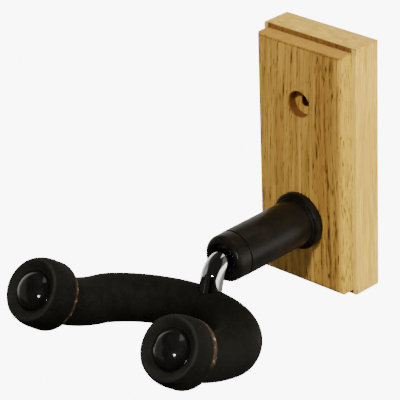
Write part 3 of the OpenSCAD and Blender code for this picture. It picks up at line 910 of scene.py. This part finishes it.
def add_floor():
    low = cad_bounds[0]
    bm = bmesh.new()
    half = 4.0
    height = low.z - 0.2
    corners = [(-half, -half), (half, -half), (half, half), (-half, half)]
    bm.faces.new([bm.verts.new((x, y, height)) for x, y in corners])
    floor = finish_mesh("floor", bm)
    s = Shader("floor")
    s.set(base_color=(0.3, 0.29, 0.27), roughness=0.9)
    # The camera sees an even white sweep, whatever light falls on the floor.
    seen = s.add("ShaderNodeLightPath").outputs["Is Camera Ray"]
    glow = s.add("ShaderNodeEmission", {"Color": (1.0, 1.0, 1.0), "Strength": SWEEP_BRIGHTNESS})
    both = s.add("ShaderNodeMixShader", {0: seen, 1: s.surface.outputs[0], 2: glow.outputs[0]})
    s.feed(s.tree.nodes["Material Output"].inputs["Surface"], both.outputs[0])
    floor.data.materials.append(s.material)
    floor.visible_glossy = False


def add_world():
    """A studio given by direction: the sweep behind, a dim wall on the left, a bright wall on
    the right, a window above and the dark room on the camera's side. Only shiny surfaces see
    it in full."""
    world = bpy.data.worlds.new("studio")
    bpy.context.scene.world = world
    world.use_nodes = True
    world.node_tree.nodes.clear()
    n = Nodes(world.node_tree)
    toward = n.add("ShaderNodeTexCoord").outputs["Generated"]
    side, above, near = (n.dot(toward, axis) for axis in camera_axes())
    behind = n.span(near, -0.35, -0.65, 0.0, 1.2)
    height = n.axes(toward)[2]
    low = n.span(height, 0.22, 0.05, 0.06, 1.0)
    left = n.product(
        n.span(near, 0.45, 0.2),
        n.span(side, -0.1, -0.5, 0.0, 0.32),
        n.span(height, 0.65, 0.35, 0.04, 1.0),
    )
    right = n.product(n.span(near, 0.75, 0.62), n.span(side, 0.4, 0.6, 0.0, 2.4), low)
    beside = n.math("MAXIMUM", left, right)
    window = n.product(
        n.span(above, 0.74, 0.82),
        n.span(side, 0.15, 0.25, 0.0, 1.2),
        n.span(side, 0.56, 0.5),
    )
    bright = n.math("MAXIMUM", n.math("MAXIMUM", behind, beside), window)
    bright = n.product(bright, n.span(height, -0.45, -0.22, 0.1, 1.0))
    shine = n.math("ADD", bright, 0.015)
    fill = n.product(n.span(near, -0.25, 0.35, 1.0, 0.06), 0.075)
    rays = n.add("ShaderNodeLightPath").outputs
    lit = {"Factor": rays["Is Glossy Ray"], "A": fill, "B": shine}
    lit = n.add("ShaderNodeMix", lit).outputs["Result"]
    level = {"Factor": rays["Is Camera Ray"], "A": lit, "B": SWEEP_BRIGHTNESS}
    level = n.add("ShaderNodeMix", level).outputs["Result"]
    background = n.add("ShaderNodeBackground", {"Color": (1.0, 0.96, 0.88), "Strength": level})
    n.add("ShaderNodeOutputWorld", {"Surface": background.outputs[0]})


def build():
    black = satin_black()
    build_block(oak())
    build_arm(black)
    build_rod(chrome())
    seams = []
    for side, start, end, low in (
        (-1, -0.8 * MM, 2.6 * MM, -20 * MM),
        (1, 1.0 * MM, 4.4 * MM, 2 * MM),
    ):
        tip = yoke_side(side).at(yoke_side(side).length)
        seams.append((tip.translation, tip.col[2].xyz.normalized(), start, end, low))
    sleeve_material = rubber("rubber_sleeve", seams)
    bumper_material = rubber("rubber_bumper", seams)
    dome_material = gloss_black()
    for side, word in ((-1, "left"), (1, "right")):
        build_sleeve(side, "sleeve_" + word, sleeve_material)
        build_tip(side, "bumper_" + word, "dome_cap_" + word, bumper_material, dome_material)

    zinc = plated("zinc_steel", (0.62, 0.62, 0.63), (0.44, 0.45, 0.47), 0.34)
    spring = plated("spring_steel", (0.09, 0.09, 0.095), (0.16, 0.15, 0.145), 0.38)
    raw = plated("raw_steel", (0.40, 0.39, 0.38), (0.26, 0.22, 0.19), 0.45)
    fine = {"metallic": 0.0, "grain": (1, 1, 1), "relief": 0.02}
    nylon = plated("nylon", (0.78, 0.76, 0.69), (0.66, 0.63, 0.55), 0.5, **fine)
    blue = plated("nylon_blue", (0.05, 0.14, 0.42), (0.03, 0.09, 0.30), 0.45, **fine)
    dark = plated("black_nylon", (0.014, 0.013, 0.012), (0.024, 0.022, 0.02), 0.45, **fine)
    for name, material, slot in (
        ("rear_bushing", nylon, "nylon"),
        ("front_bushing", dark, "black_nylon"),
        ("thrust_washer", zinc, "zinc_steel"),
        ("retaining_ring", spring, "spring_steel"),
        ("rear_washer", zinc, "zinc_steel"),
        ("disc_spring", spring, "spring_steel"),
        ("lock_nut", zinc, "zinc_steel"),
        ("nut_insert", blue, "nylon_blue"),
        ("yoke_rod", raw, "raw_steel"),
        ("end_washers", zinc, "zinc_steel"),
        ("push_nuts", spring, "spring_steel"),
    ):
        dress_node(name, material)

    add_floor()
    add_world()
    # The first three only light the object, and the glint shows only in its shine.
    add_lamp("key", (0.21, -0.64, 0.74), 0.9, 0.12, 9).visible_glossy = False
    add_lamp("side", (0.97, 0.08, 0.22), 1.0, 0.4, 16.5).visible_glossy = False
    add_lamp("window", (0.23, 0.30, 0.93), 0.9, 0.3, 5).visible_glossy = False
    right, up, back = camera_axes()
    add_lamp("glint", right * -0.17 + up * -0.25 + back * 0.95, 1.1, 0.15, 5).visible_diffuse = False
    add_camera()


build()
